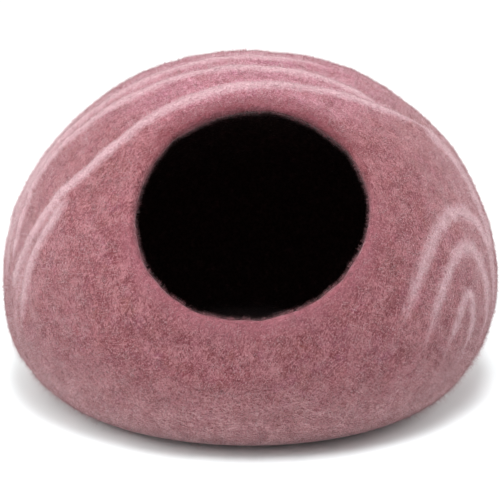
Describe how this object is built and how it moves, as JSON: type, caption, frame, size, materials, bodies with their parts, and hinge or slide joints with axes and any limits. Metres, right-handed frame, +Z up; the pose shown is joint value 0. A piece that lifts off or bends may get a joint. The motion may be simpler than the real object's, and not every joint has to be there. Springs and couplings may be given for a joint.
{
  "type": "felt cat cave",
  "caption": "Seamless egg-shaped felted wool cave with a round mouth that tilts up, hollow inside and flat underneath.",
  "frame": {"origin": "middle of the flat base, at the height of the surface it stands on", "axes": "+Z up, -Y towards the mouth, +X across the body to the right seen from the front"},
  "size_m": [0.4604, 0.4394, 0.3107],
  "materials": {
    "rose_felt": "matte, fuzzy felted wool"
  },
  "bodies": {
    "root": {"felt_cave": "rose_felt"}
  },
  "joints": []
}
